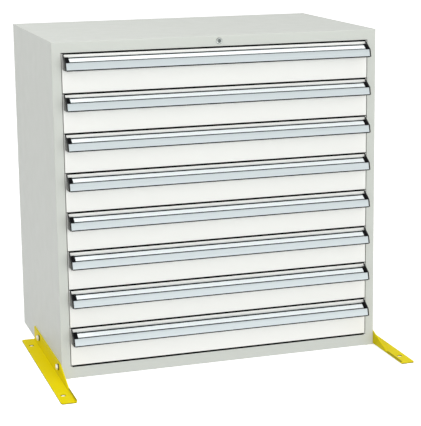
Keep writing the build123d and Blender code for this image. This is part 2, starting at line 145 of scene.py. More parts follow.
class HandleSettings(bpy.types.PropertyGroup):
    """Section of the handle: reach out from the front's face, drop from its top edge."""

    edge_reach: length("Edge reach", "Top edge of the label slope, outwards", 0.0095)
    edge_drop: length("Edge drop", "Top edge of the label slope, downwards", 0.0075)
    ridge_reach: length("Ridge reach", "Ridge between slope and lip, outwards", 0.0296)
    ridge_drop: length("Ridge drop", "Ridge between slope and lip, downwards", 0.0199)
    lip_reach: length("Lip reach", "Lower edge of the grip lip, outwards", 0.0352)
    lip_drop: length("Lip drop", "Lower edge of the grip lip, downwards", 0.0395)
    wall: length("Wall", "Thickness of slope and lip", 0.0024)
    ridge_radius: length("Ridge radius", "Outer rounding of the ridge", 0.0026)
    channel_depth: length("Channel depth", "Depth of the label channel", 0.001)
    upper_bead: length("Upper bead", "Land above the label channel", 0.0006)
    lower_bead: length("Lower bead", "Land below the label channel", 0.0006)
    hook: length("Hook", "How far a bead hangs over the channel", 0.0004)
    web_drop: length("Web drop", "Where the web meets the rear flange", 0.016)
    flange_drop: length("Flange drop", "Lower edge of the rear flange", 0.032)
    flange: length("Flange", "Thickness of web and rear flange", 0.0022)
    # The holder's dark rims paint shade along the edges of the label channel.
    upper_shade_rim: length("Upper rim", "Dark rim of the label holder, above the card", 0.0043)
    lower_shade_rim: length("Lower rim", "Dark rim of the label holder, below the card", 0.0036)
    card: length("Card", "Thickness of the label card", 0.0003)
    # The lip trim is a black strip that paints the shadow line under the grip lip.
    lip_shade_height: length("Lip trim", "Height of the dark trim on the lip's lower edge", 0.0026)
    lip_shade_wall: length("Trim wall", "Thickness of the trim", 0.0004)
    cap_proud: length("Cap rim", "How far a cap stands proud of the section", 0.0006)
    cap_tongue: length("Cap tongue", "Length of a cap's tongue on the slope", 0.0095)
    cap_tongue_height: length("Tongue height", "Height of the tongue", 0.0009)


class FittingSettings(bpy.types.PropertyGroup):
    """Sizes of the lock, bolts and rivets."""

    bezel_radius: length("Bezel radius", "Outer radius of the lock's bezel", 0.0086)
    bezel_proud: length("Bezel height", "How far the bezel stands out", 0.0022)
    barrel_radius: length("Barrel radius", "Radius of the lock's barrel", 0.007)
    barrel_length: length("Barrel length", "Depth of the barrel behind the face", 0.02)
    plug_radius: length("Plug radius", "Bore that the plug turns in", 0.00495)
    nut_across: length("Lock nut", "Width of the lock's nut across flats", 0.02)
    turns: IntProperty(name="Turned sides", description="Sides of a turned part", default=48)
    bolt_across: length("Bolt head", "Width of a bolt head across flats", 0.013)
    bolt_head: length("Head height", "Height of a bolt head", 0.0053)
    washer_radius: length("Washer radius", "Outer radius of a washer", 0.0085)
    washer: length("Washer", "Thickness of a washer", 0.0014)
    rivet_radius: length("Rivet radius", "Radius of a rivet head in the trays", 0.0036)


class StudioSettings(bpy.types.PropertyGroup):
    """Camera, lights and floor."""

    lens: number("Lens", "Focal length in millimetres", 123.9)
    camera_place: FloatVectorProperty(
        name="Camera place",
        description="Where the camera stands",
        default=(-1.1417, -3.8851, 1.2587),
        subtype="TRANSLATION",
    )
    heading: angle("Heading", "Turn of the view from straight ahead, to the left", -18.50)
    tilt: angle("Tilt", "Angle that the camera looks down", 10.98)
    roll: angle("Roll", "Roll of the camera", -0.48)
    shift_x: number("Shift X", "Sideways lens shift", -0.08)
    shift_y: number("Shift Y", "Upward lens shift", -0.10)
    floor_reach: length("Floor", "Half the side of the floor", 40.0)
    front_power: power("Front light", "Power of the large light beside the camera", 90.0)
    left_power: power("Left light", "Power of the soft light above on the left", 27.0)
    top_power: power("Top light", "Power of the large light overhead", 25.0)
    bright_wall: number("Bright wall", "Brightness in front and all round the horizon", 1.0)
    dim_wall: number("Dim wall", "Brightness of the rest of the surroundings", 0.7)
    left_share: number("Left share", "Share of the brightness that the left keeps", 0.55)
    floor_glow: number("Floor glow", "Light that the white floor gives itself", 0.56)


def new_finish(name, metallic, roughness):
    """New material: its tree, its shader and its object coordinates."""
    finish = bpy.data.materials.new(name)
    if finish.name != name:
        raise RuntimeError(f"another material is already called {name}")
    finish.use_nodes = True
    tree = finish.node_tree
    shader = tree.nodes["Principled BSDF"]
    shader.inputs["Metallic"].default_value = metallic
    shader.inputs["Roughness"].default_value = roughness
    place = tree.nodes.new("ShaderNodeTexCoord").outputs["Object"]
    return tree, shader, place


def noise(tree, place, size, detail=2.0, stretch=(1.0, 1.0, 1.0)):
    """Noise with features of a size in metres, stretched along the axes."""
    mapping = tree.nodes.new("ShaderNodeMapping")
    mapping.inputs["Scale"].default_value = [1.0 / share for share in stretch]
    pattern = tree.nodes.new("ShaderNodeTexNoise")
    pattern.inputs["Scale"].default_value = 1.0 / size
    pattern.inputs["Detail"].default_value = detail
    tree.links.new(place, mapping.inputs["Vector"])
    tree.links.new(mapping.outputs["Vector"], pattern.inputs["Vector"])
    return pattern.outputs["Fac"]


def tone(tree, shader, share, tint, low, high, start=0.3, end=0.7):
    """Base colour: a tint times low to times high, as the share goes from start to end."""
    shades = tree.nodes.new("ShaderNodeValToRGB")
    for stop, place, level in zip(shades.color_ramp.elements, (start, end), (low, high)):
        stop.position = place
        stop.color = (*(min(1.0, channel * level) for channel in tint), 1.0)
    tree.links.new(share, shades.inputs["Fac"])
    tree.links.new(shades.outputs["Color"], shader.inputs["Base Color"])


def ramp(tree, share, ends, levels, blend="LINEAR"):
    """Share brought from a pair of ends to a pair of levels, and held outside them."""
    span = tree.nodes.new("ShaderNodeMapRange")
    span.interpolation_type = blend
    for socket, value in zip(("From Min", "From Max", "To Min", "To Max"), (*ends, *levels)):
        span.inputs[socket].default_value = value
    tree.links.new(share, span.inputs["Value"])
    return span.outputs["Result"]


def combined(tree, operation, *shares):
    """One share or two put through a math operation."""
    node = tree.nodes.new("ShaderNodeMath")
    node.operation = operation
    for share, socket in zip(shares, node.inputs):
        tree.links.new(share, socket)
    return node.outputs["Value"]


def gloss(tree, shader, share, low, high):
    """Roughness that runs from low to high with the share."""
    tree.links.new(ramp(tree, share, (0.3, 0.7), (low, high)), shader.inputs["Roughness"])


def relief(tree, shader, height, depth, under=None):
    """Bump of a depth in metres, on top of another one if that is given."""
    bump = tree.nodes.new("ShaderNodeBump")
    bump.inputs["Strength"].default_value = 1.0
    bump.inputs["Distance"].default_value = depth
    tree.links.new(height, bump.inputs["Height"])
    if under:
        tree.links.new(under, bump.inputs["Normal"])
    tree.links.new(bump.outputs["Normal"], shader.inputs["Normal"])
    return bump.outputs["Normal"]


def powder_coat(name, paint, grain, roughness=0.42, specular=0.42, shade_zones=()):
    """Satin powder coat: fine orange peel and faint clouds, with painted shade in zones."""
    tree, shader, place = new_finish(name, 0.0, roughness)
    tone(tree, shader, noise(tree, place, 0.35, 4.0), paint, 0.993, 1.006)
    gloss(tree, shader, noise(tree, place, 0.04, 3.0), roughness - 0.04, roughness + 0.05)
    waves = relief(tree, shader, noise(tree, place, 9 * grain, 1.0), 0.00004)
    relief(tree, shader, noise(tree, place, grain), 0.00003, waves)
    shader.inputs["Specular IOR Level"].default_value = specular
    if shade_zones:
        paint_shade_zones(tree, shader, place, shade_zones)


def paint_shade_zones(tree, shader, place, shade_zones):
    """Paint shade into a coat softly in zones, each of a share of brightness, a low and a high
    corner.

    A zone lies at the same place on both sides of X = 0.
    """
    split = tree.nodes.new("ShaderNodeSeparateXYZ")
    tree.links.new(place, split.inputs["Vector"])
    sideways = combined(tree, "ABSOLUTE", split.outputs["X"])
    places = (sideways, split.outputs["Y"], split.outputs["Z"])
    blur = 0.0006
    base = shader.inputs["Base Color"]
    colour_so_far = base.links[0].from_socket
    for share, low, high in shade_zones:
        inside = None
        for value, start, end in zip(places, low, high):
            # A ramp with its ends swapped falls, as it has to at a zone's far edge.
            for edge, step in ((start, blur), (end, -blur)):
                past = ramp(tree, value, (edge - step, edge + step), (0, 1))
                inside = combined(tree, "MULTIPLY", past, inside) if inside else past
        painted_shade = tree.nodes.new("ShaderNodeVectorMath")
        painted_shade.operation = "SCALE"
        tree.links.new(colour_so_far, painted_shade.inputs[0])
        tree.links.new(ramp(tree, inside, (0, 1), (1, share)), painted_shade.inputs["Scale"])
        colour_so_far = painted_shade.outputs["Vector"]
    tree.links.new(colour_so_far, base)


def drawn_aluminium(name, metal):
    """Satin anodised extrusion with fine draw lines along X."""
    tree, shader, place = new_finish(name, 1.0, 0.34)
    lines = noise(tree, place, 0.0006, 3.0, (400.0, 1.0, 1.0))
    tone(tree, shader, noise(tree, place, 0.004, 2.0, (160.0, 1.0, 1.0)), metal, 0.965, 1.02)
    gloss(tree, shader, lines, 0.29, 0.39)
    relief(tree, shader, lines, 0.000012)


def rolled_zinc(name, metal, roughness=0.36, metallic=1.0):
    """Zinc on cold rolled steel, with faint lines along Y and small cloudy spots."""
    tree, shader, place = new_finish(name, metallic, roughness)
    clouds = noise(tree, place, 0.018, 4.0)
    tone(tree, shader, clouds, metal, 0.9, 1.05)
    gloss(tree, shader, clouds, roughness - 0.06, roughness + 0.08)
    relief(tree, shader, noise(tree, place, 0.0008, 3.0, (1.0, 200.0, 1.0)), 0.00001)


def spangled_zinc(name, metal):
    """Hot dip galvanised sheet with its crystal pattern."""
    tree, shader, place = new_finish(name, 1.0, 0.42)
    crystals = tree.nodes.new("ShaderNodeTexVoronoi")
    crystals.inputs["Scale"].default_value = 140.0
    tree.links.new(place, crystals.inputs["Vector"])
    grey = tree.nodes.new("ShaderNodeRGBToBW")
    tree.links.new(crystals.outputs["Color"], grey.inputs["Color"])
    tone(tree, shader, grey.outputs["Val"], metal, 0.86, 1.08, 0.1, 0.9)
    gloss(tree, shader, grey.outputs["Val"], 0.36, 0.5)
    relief(tree, shader, noise(tree, place, 0.002), 0.00001)


def moulded_plastic(name, plastic, specular, roughness):
    """Black moulded plastic with a fine spark eroded grain."""
    tree, shader, place = new_finish(name, 0.0, roughness)
    shader.inputs["Specular IOR Level"].default_value = specular
    grain = noise(tree, place, 0.0005, 3.0)
    tone(tree, shader, noise(tree, place, 0.01), plastic, 0.8, 1.3)
    gloss(tree, shader, grain, 0.8 * roughness, 1.2 * roughness)
    relief(tree, shader, grain, 0.00005 * roughness)


def soft_rubber(name, rubber):
    """Matt black rubber with a dusty bloom, used for strips that paint shade into gaps and along
    the lips.
    """
    tree, shader, place = new_finish(name, 0.0, 0.7)
    shader.inputs["Specular IOR Level"].default_value = 0.1
    bloom = noise(tree, place, 0.006, 4.0)
    tone(tree, shader, bloom, rubber, 0.8, 1.5)
    gloss(tree, shader, bloom, 0.6, 0.8)
    relief(tree, shader, noise(tree, place, 0.0004), 0.00002)


def label_card(name, card):
    """Smooth blank card under a clear cover: paper fibres and an even gloss."""
    tree, shader, place = new_finish(name, 0.0, 0.34)
    fibres = noise(tree, place, 0.0009, 5.0, (3.0, 1.0, 1.0))
    tone(tree, shader, fibres, card, 0.985, 1.01)
    relief(tree, shader, fibres, 0.000006)
    shader.inputs["Coat Weight"].default_value = 0.25
    shader.inputs["Coat Roughness"].default_value = 0.12


def polished_chrome(name, metal, roughness):
    """Chrome plating with faint turning marks."""
    tree, shader, place = new_finish(name, 1.0, roughness)
    marks = noise(tree, place, 0.0006, 3.0)
    tone(tree, shader, marks, metal, 0.95, 1.04)
    gloss(tree, shader, marks, 0.8 * roughness, 1.25 * roughness)
    relief(tree, shader, marks, 0.000004)


def finish_named(name):
    """A finish that the finishes operator has made."""
    if name not in bpy.data.materials:
        raise RuntimeError(f"make the finishes first: {name} is missing")
    return bpy.data.materials[name]


def open_piece(name):
    """Name the primitive just added, take its place into its mesh and open it for editing."""
    piece = bpy.context.active_object
    piece.name = piece.data.name = name
    bpy.ops.object.transform_apply(location=True, rotation=True, scale=True)
    bpy.ops.object.mode_set(mode="EDIT")
    return piece


def add_blank(name, sides, radius, depth, place, turn):
    """Add a straight blank with so many sides at its place and open it for editing."""
    bpy.ops.object.select_all(action="DESELECT")
    bpy.ops.mesh.primitive_cylinder_add(
        vertices=sides, radius=radius, depth=depth, location=place, rotation=turn
    )
    return open_piece(name)


def pick(piece, kind, wanted):
    """Select in edit mode only those verts, edges or faces of a piece that are wanted."""
    bpy.ops.mesh.select_mode(type={"verts": "VERT", "edges": "EDGE", "faces": "FACE"}[kind])
    bpy.ops.mesh.select_all(action="DESELECT")
    mesh = bmesh.from_edit_mesh(piece.data)
    for part in getattr(mesh, kind):
        if wanted(part):
            part.select_set(True)
    mesh.select_flush_mode()
    bmesh.update_edit_mesh(piece.data)


def chamfer(piece, size, wanted):
    """Bevel the edges round the faces of a piece that are wanted."""
    pick(piece, "faces", wanted)
    bpy.ops.mesh.bevel(offset=size, segments=2, affect="EDGES")


def draw_section(name, points, at_x, corners=()):
    """Draw a closed section at one X, point by point from a single vertex, and fill it.

    points are (y, z) pairs. corners are (index, cut back, segments) of those that are rounded.
    """
    bpy.ops.object.select_all(action="DESELECT")
    place = Vector((at_x, *points[0]))
    bpy.ops.mesh.primitive_plane_add(size=0.001, location=place)
    piece = open_piece(name)
    bpy.ops.mesh.select_mode(type="VERT")
    bpy.ops.mesh.select_all(action="SELECT")
    bpy.ops.mesh.merge(type="CENTER")
    for point in points[1:]:
        step = Vector((at_x, *point)) - place
        bpy.ops.mesh.extrude_vertices_move(TRANSFORM_OT_translate={"value": step})
        place += step
    bpy.ops.mesh.select_all(action="SELECT")
    bpy.ops.mesh.edge_face_add()
    for index, cut_back, segments in corners:
        corner = Vector((at_x, *points[index]))
        pick(piece, "verts", lambda vertex: (vertex.co - corner).length < 1e-5)
        bpy.ops.mesh.bevel(offset=cut_back, segments=segments, affect="VERTICES")
    return piece


def draw_bar(name, points, start, end, corners=()):
    """Draw a section at one X and extrude it to another."""
    piece = draw_section(name, points, start, corners)
    bpy.ops.mesh.select_mode(type="FACE")
    bpy.ops.mesh.select_all(action="SELECT")
    bpy.ops.mesh.extrude_region_move(TRANSFORM_OT_translate={"value": (end - start, 0, 0)})
    return piece


def face_outwards():
    """Point all faces of the piece in edit mode outwards."""
    bpy.ops.mesh.select_all(action="SELECT")
    bpy.ops.mesh.normals_make_consistent(inside=False)


def close_piece(piece, edge=0.0, segments=2, smooth_angle=32.0, mirrored=False):
    """Leave edit mode with clean outward faces, and apply edge rounding and mirror."""
    bpy.ops.mesh.select_all(action="SELECT")
    bpy.ops.mesh.remove_doubles(threshold=1e-6)
    face_outwards()
    bpy.ops.object.mode_set(mode="OBJECT")
    if edge:
        bpy.ops.object.modifier_add(type="BEVEL")
        rounding = piece.modifiers[-1]
        rounding.width = edge
        rounding.segments = segments
        rounding.angle_limit = math.radians(60)
        bpy.ops.object.modifier_apply(modifier=rounding.name)
    if mirrored:
        bpy.ops.object.modifier_add(type="MIRROR")
        bpy.ops.object.modifier_apply(modifier=piece.modifiers[-1].name)
        bpy.ops.object.mode_set(mode="EDIT")
        face_outwards()
        bpy.ops.object.mode_set(mode="OBJECT")
    bpy.ops.object.shade_smooth_by_angle(angle=math.radians(smooth_angle))
    return piece


def only(piece):
    """Make a piece the one selected and active object."""
    bpy.ops.object.select_all(action="DESELECT")
    piece.select_set(True)
    bpy.context.view_layer.objects.active = piece


def copied(piece, name, step):
    """Copy of a piece with a mesh of its own, moved by a step that goes into the mesh."""
    only(piece)
    bpy.ops.object.duplicate_move(TRANSFORM_OT_translate={"value": step})
    copy = bpy.context.active_object
    copy.name = copy.data.name = name
    bpy.ops.object.transform_apply(location=True, rotation=True, scale=True)
    return copy


def joined(pieces, name):
    """Join pieces into the first one."""
    only(pieces[0])
    for piece in pieces:
        piece.select_set(True)
    bpy.ops.object.join()
    pieces[0].name = pieces[0].data.name = name
    return pieces[0]


def fit_piece(piece, finish, body, slot, *stood_for):
    """Give a finished piece its finish and its body, and hide the CAD nodes it stands for; slot
    is not used.
    """
    piece.data.materials.clear()
    piece.data.materials.append(finish_named(finish))
    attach(piece, body)
    if stood_for:
        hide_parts(*stood_for)


def fit_down(piece, name, finish, slot, stood_for=""):
    """Give every drawer its own copy of a piece that was modelled on the top drawer."""
    pieces = [piece]
    for drawer in range(2, drawer_count + 1):
        pieces.append(copied(piece, f"{name}_{drawer}", (0, 0, -drawer_pitch * (drawer - 1))))
    piece.name = piece.data.name = f"{name}_1"
    for drawer, one in enumerate(pieces, 1):
        nodes = [f"drawer_{drawer}_{stood_for}"] if stood_for else []
        fit_piece(one, finish, f"drawer_{drawer}", slot, *nodes)


def finish_nodes(names, finish):
    """Put a finish on CAD nodes that keep their own shape."""
    for name in names:
        mesh = cad[name].data
        mesh.materials.clear()
        mesh.materials.append(finish_named(finish))


class HandleSection:
    """Places on the handle's section, as (y, z) pairs on the top drawer."""

    def __init__(self, settings):
        self.settings = settings
        self.edge = Vector((settings.edge_reach, settings.edge_drop))
        self.ridge = Vector((settings.ridge_reach, settings.ridge_drop))
        self.lip = Vector((settings.lip_reach, settings.lip_drop))
        self.slope = (self.ridge - self.edge).normalized()
        self.fall = (self.lip - self.ridge).normalized()
        self.slope_length = (self.ridge - self.edge).length
        self.lip_length = (self.lip - self.ridge).length
        self.half_turn = self.slope.angle(self.fall) / 2
        self.slope_end = self.slope_length - (settings.ridge_radius - settings.wall)
        self.channel = (settings.upper_bead, self.slope_end - settings.lower_bead)

    @staticmethod
    def at(reach, drop):
        """Place at a reach out from the front's face and a drop from its top edge."""
        return (face_y - reach, front_high.z - drop)

    def on_slope(self, along, depth):
        """Place along the label slope, at a depth under its face."""
        place = self.edge + self.slope * along + Vector((-self.slope.y, self.slope.x)) * depth
        return self.at(*place)

    def on_lip(self, along, depth):
        """Place along the grip lip, at a depth under its face."""
        place = self.ridge + self.fall * along + Vector((-self.fall.y, self.fall.x)) * depth
        return self.at(*place)


class CABINET_OT_finishes(bpy.types.Operator):
    """Make the finishes from the colour settings"""

    bl_idname = "cabinet.finishes"
    bl_label = "Finishes"

    def execute(self, context):
        settings = context.scene.cabinet_finish
        grain = settings.grain
        powder_coat("case_coat", settings.case_paint, grain)
        powder_coat("drawer_coat", settings.drawer_paint, grain, 0.38)
        powder_coat("bracket_coat", settings.bracket_paint, grain, 0.48, 0.04, self.shades())
        drawn_aluminium("drawn_aluminium", settings.aluminium)
        label_card("label_card", settings.label_card)
        moulded_plastic("gloss_plastic", settings.cap_plastic, 0.5, 0.14)
        moulded_plastic("matt_plastic", settings.cap_plastic, 0.03, 0.5)
        soft_rubber("seal_rubber", settings.seal_rubber)
        spangled_zinc("spangled_zinc", settings.galvanised)
        rolled_zinc("rolled_zinc", settings.slide_zinc)
        rolled_zinc("bright_zinc", settings.bolt_zinc, 0.3, 0.3)
        rolled_zinc("blackened_steel", settings.washer_steel, 0.45)
        polished_chrome("polished_chrome", settings.chrome, 0.22)
        polished_chrome("lock_face", settings.lock_face, 0.3)
        return {"FINISHED"}

    @staticmethod
    def shades():
        """Zones of painted shade on the brackets: inside the bend, the front lip's edge and
        underneath.
        """
        low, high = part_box("floor_brackets")
        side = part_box("side_panels")[1].x
        sheet, bend, lip, lip_end = 0.003, 0.0048, 0.008, -0.37
        before, behind = low.y - 1, high.y + 1
        # Painted shade: the crease inside the bend, a band at the top of the front lip, and the
        # lower edges and hole walls near the floor.
        return (
            (0.78, (side + sheet, before, sheet), (side + 0.0046, behind, bend)),
            (0.38, (side - 1, before, lip - 0.0018), (side + 0.0034, lip_end, lip + 0.001)),
            (0.2, (side - 1, before, -1), (side + 1, behind, 0.7 * sheet)),
        )


class CABINET_OT_sheet_and_slides(bpy.types.Operator):
    """Finish the sheet metal, slides, posts and lock rods that keep their CAD shape"""

    bl_idname = "cabinet.sheet_and_slides"
    bl_label = "Sheet metal and slides"

    def execute(self, context):
        finish_nodes(("side_panels", "top_panel", "base_panel", "back_panel"), "case_coat")
        finish_nodes(("slotted_posts", "lock_link", "lock_shaft"), "spangled_zinc")
        finish_nodes(("lock_plug",), "lock_face")
        finish_nodes(("floor_brackets",), "bracket_coat")
        finish_nodes(("cabinet_rails",), "rolled_zinc")
        for drawer in range(1, drawer_count + 1):
            slides = (f"drawer_{drawer}_runners", f"drawer_{drawer}_middle_rails")
            finish_nodes((f"drawer_{drawer}_tray",), "drawer_coat")
            finish_nodes(slides, "rolled_zinc")
        return {"FINISHED"}


class CABINET_OT_fronts(bpy.types.Operator):
    """Model the drawer fronts as folded pans with rounded edges"""

    bl_idname = "cabinet.fronts"
    bl_label = "Drawer fronts"

    def execute(self, context):
        settings = context.scene.cabinet_front
        size = front_high - front_low + Vector((2 * settings.side_reach, 0, 0))
        bpy.ops.object.select_all(action="DESELECT")
        bpy.ops.mesh.primitive_cube_add(size=1, location=(front_low + front_high) / 2, scale=size)
        pan = open_piece("front_pan")
        pick(pan, "edges", lambda edge: all(abs(v.co.y - face_y) < 1e-6 for v in edge.verts))
        bpy.ops.mesh.bevel(offset=settings.edge_radius, segments=4, affect="EDGES")
        pick(pan, "faces", lambda face: face.normal.y > 0.9)
        bpy.ops.mesh.inset(thickness=settings.flange)
        bpy.ops.mesh.extrude_region_move(
            TRANSFORM_OT_translate={"value": (0, 2 * settings.sheet - size.y, 0)}
        )
        close_piece(pan)
        fit_down(pan, "front_pan", "drawer_coat", "drawer_paint", "front")
        return {"FINISHED"}


class CABINET_OT_handles(bpy.types.Operator):
    """Model the extruded handles with their undercut label channel and grip lip"""

    bl_idname = "cabinet.handles"
    bl_label = "Handles"

    def execute(self, context):
        settings = context.scene.cabinet_handle
        section = HandleSection(settings)
        low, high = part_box("drawer_1_handle")
        wall, hook, depth = settings.wall, settings.hook, settings.channel_depth
        slope, lip = section.slope_length, section.lip_length
        channel_start, channel_end = section.channel
        hook_face, hook_root = 0.35 * depth, 0.45 * depth
        web_top, web_foot = 0.00146, 0.00401
        turn = math.tan(section.half_turn)
        points = [
            section.at(0, settings.flange_drop),
            section.at(0, settings.web_drop - settings.flange),
            section.on_slope(web_top, wall),
            section.on_slope(0, wall),
            section.on_slope(0, 0),
            section.on_slope(channel_start + hook, 0),
            section.on_slope(channel_start + hook, hook_face),
            section.on_slope(channel_start, hook_root),
            section.on_slope(channel_start, depth),
            section.on_slope(channel_end, depth),
            section.on_slope(channel_end, hook_root),
            section.on_slope(channel_end - hook, hook_face),
            section.on_slope(channel_end - hook, 0),
            section.on_slope(slope, 0),
            section.on_lip(lip, 0),
            section.on_lip(lip, wall),
            section.on_slope(slope - wall * turn, wall),
            section.on_slope(web_foot, wall),
            section.at(settings.flange, settings.web_drop),
            section.at(settings.flange, settings.flange_drop),
        ]
        ridge = [
            (13, settings.ridge_radius * turn, 8),
            (16, (settings.ridge_radius - wall) * turn, 4),
        ]
        lip_end = [(14, 0.4 * wall, 5), (15, 0.4 * wall, 5)]
        slope_top = [(4, 0.2 * wall, 3), (3, 0.2 * wall, 3)]
        flange_foot = [(0, 0.2 * wall, 2), (19, 0.2 * wall, 2)]
        corners = ridge + lip_end + slope_top + flange_foot
        handle = draw_bar("label_handle", points, low.x, high.x, corners)
        close_piece(handle, smooth_angle=24.0)
        fit_down(handle, "label_handle", "drawn_aluminium", "handle_aluminium", "handle")
        return {"FINISHED"}


class CABINET_OT_labels(bpy.types.Operator):
    """Model the black label holders in the handles' channels, whose rims paint shade along the
    channels' edges, and the blank cards in them
    """

    bl_idname = "cabinet.labels"
    bl_label = "Label holders and cards"

    def execute(self, context):
        settings = context.scene.cabinet_handle
        section = HandleSection(settings)
        low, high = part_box("drawer_1_handle")
        depth, hook = settings.channel_depth, settings.hook
        play = 0.00005
        start, end = section.channel[0] + play, section.channel[1] - play
        # Painted shade: the holder's black rims above and below the card stand in for the shadow
        # gaps at the channel's edges.
        card_start, card_end = start + settings.upper_shade_rim, end - settings.lower_shade_rim
        inner_start, inner_end = start + 1.2 * hook, end - 1.2 * hook
        back, ledge, floor, face = 0.97 * depth, 0.5 * depth, 0.7 * depth, 0.15 * depth
        points = [
            section.on_slope(start, back),
            section.on_slope(end, back),
            section.on_slope(end, ledge),
            section.on_slope(inner_end, ledge),
            section.on_slope(inner_end, face),
            section.on_slope(card_end, face),
            section.on_slope(card_end, floor),
            section.on_slope(card_start, floor),
            section.on_slope(card_start, face),
            section.on_slope(inner_start, face),
            section.on_slope(inner_start, ledge),
            section.on_slope(start, ledge),
        ]
        corners, inset = [(5, 0.0001, 2), (8, 0.0001, 2)], 0.002
        shade_rims = draw_bar("label_holder", points, low.x + inset, high.x - inset, corners)
        close_piece(shade_rims, smooth_angle=24.0)
        fit_down(shade_rims, "label_holder", "matt_plastic", "cap_plastic")
        middle, quarter = (card_start + card_end) / 2, (card_end - card_start) / 4
        card_start, card_end = card_start + play, card_end - play
        # The card bulges a little towards its middle.
        card_back, edge_face = floor - 0.00001, floor - settings.card
        side_face, middle_face = edge_face - 0.5 * settings.card, edge_face - 0.7 * settings.card
        points = [
            section.on_slope(card_start, card_back),
            section.on_slope(card_end, card_back),
            section.on_slope(card_end, edge_face),
            section.on_slope(middle + quarter, side_face),
            section.on_slope(middle, middle_face),
            section.on_slope(middle - quarter, side_face),
            section.on_slope(card_start, edge_face),
        ]
        inset = 0.003
        card = draw_bar("label_card", points, low.x + inset, high.x - inset)
        close_piece(card, smooth_angle=20.0)
        fit_down(card, "label_card", "label_card", "drawer_paint")
        return {"FINISHED"}


class CABINET_OT_shade_strips(bpy.types.Operator):
    """Model the black strips that paint shade into the gaps above the fronts and along the grip
    lips' lower edges
    """

    bl_idname = "cabinet.seals"
    bl_label = "Gap and lip shade strips"

    def execute(self, context):
        front = context.scene.cabinet_front
        # Painted shade: a black strip on each front's top edge, and one above the base, fills the
        # gap so it reads dark.
        start, top = face_y - 0.0003, front_high.z
        back, high_face = start + front.shade_strip_depth, top + front.shade_strip_height
        foot, seat, shoulder = top - front.shade_strip_drop, top - 0.0001, top + 0.3 * front.shade_strip_height
        skirt = 0.0008
        points = [
            (start + skirt, foot),
            (start, foot),
            (start, shoulder),
            (start + 2 * skirt, high_face),
            (back - 0.003, high_face),
            (back, shoulder),
            (back, seat),
            (start + skirt, seat),
        ]
        corners = [(1, 0.0001, 2), (2, 0.0003, 3), (3, 0.0006, 3), (4, 0.0008, 3)]
        inset = 0.0015
        shade_strip = draw_bar("top_seal", points, front_low.x + inset, front_high.x - inset, corners)
        close_piece(shade_strip, smooth_angle=30.0)
        sill_seal = copied(shade_strip, "sill_seal", (0, 0, -drawer_pitch * drawer_count))
        fit_piece(sill_seal, "seal_rubber", "cabinet", "cap_plastic")
        fit_down(shade_strip, "top_seal", "seal_rubber", "cap_plastic")
        # Painted shade: a black strip round each lip's lower edge stands in for the shadow line
        # under the lip.
        handle = context.scene.cabinet_handle
        section = HandleSection(handle)
        low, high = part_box("drawer_1_handle")
        lip, wall, skin = section.lip_length, handle.wall, handle.lip_shade_wall
        lower, upper = lip + skin, lip + skin - handle.lip_shade_height
        points = [
            section.on_lip(upper, 0),
            section.on_lip(upper, -skin),
            section.on_lip(lower, -skin),
            section.on_lip(lower, wall + skin),
            section.on_lip(upper, wall + skin),
            section.on_lip(upper, wall),
            section.on_lip(lip, wall),
            section.on_lip(lip, 0),
        ]
        corners = [(1, 0.0003, 3), (2, 0.0009, 4), (3, 0.0009, 4), (4, 0.0003, 3)]
        inset = 0.0002
        lip_shade = draw_bar("lip_trim", points, low.x + inset, high.x - inset, corners)
        close_piece(lip_shade, smooth_angle=40.0)
        fit_down(lip_shade, "lip_trim", "seal_rubber", "cap_plastic")
        return {"FINISHED"}


class CABINET_OT_end_caps(bpy.types.Operator):
    """Model the moulded end caps: a rounded plate and a tongue over the label slope"""

    bl_idname = "cabinet.end_caps"
    bl_label = "Handle end caps"

    def execute(self, context):
        settings = context.scene.cabinet_handle
        section = HandleSection(settings)
        inner_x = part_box("drawer_1_handle")[1].x
        outer_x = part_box("drawer_1_end_caps")[1].x
        proud = settings.cap_proud
        # From the ridge the plate's top edge follows the label slope back to the front's face.
        rise = settings.ridge_reach * section.slope.y / section.slope.x
        points = [
            section.at(0, settings.lip_drop),
            section.at(0, settings.ridge_drop - rise - proud),
            section.at(settings.ridge_reach + proud, settings.ridge_drop - proud),
            section.at(settings.lip_reach + proud, settings.lip_drop),
        ]
        corners = [(1, 0.001, 3), (2, 0.0018, 6), (3, 0.0024, 6)]
        plate = draw_bar("cap_plate", points, inner_x, outer_x, corners)
        close_piece(plate, edge=0.0006, segments=3, mirrored=True)
        fit_down(plate, "cap_plates", "gloss_plastic", "cap_plastic", "end_caps")
        start, end, height = 0.0002, section.slope_end, settings.cap_tongue_height
        points = [
            section.on_slope(start, 0),
            section.on_slope(end, 0),
            section.on_slope(end, -height),
            section.on_slope(start, -height),
        ]
        sunk = 0.0005
        tongue = draw_bar("cap_tongue", points, inner_x - settings.cap_tongue, inner_x + sunk)
        close_piece(tongue, edge=0.0003, mirrored=True)
        fit_down(tongue, "cap_tongues", "matt_plastic", "cap_plastic")
        return {"FINISHED"}


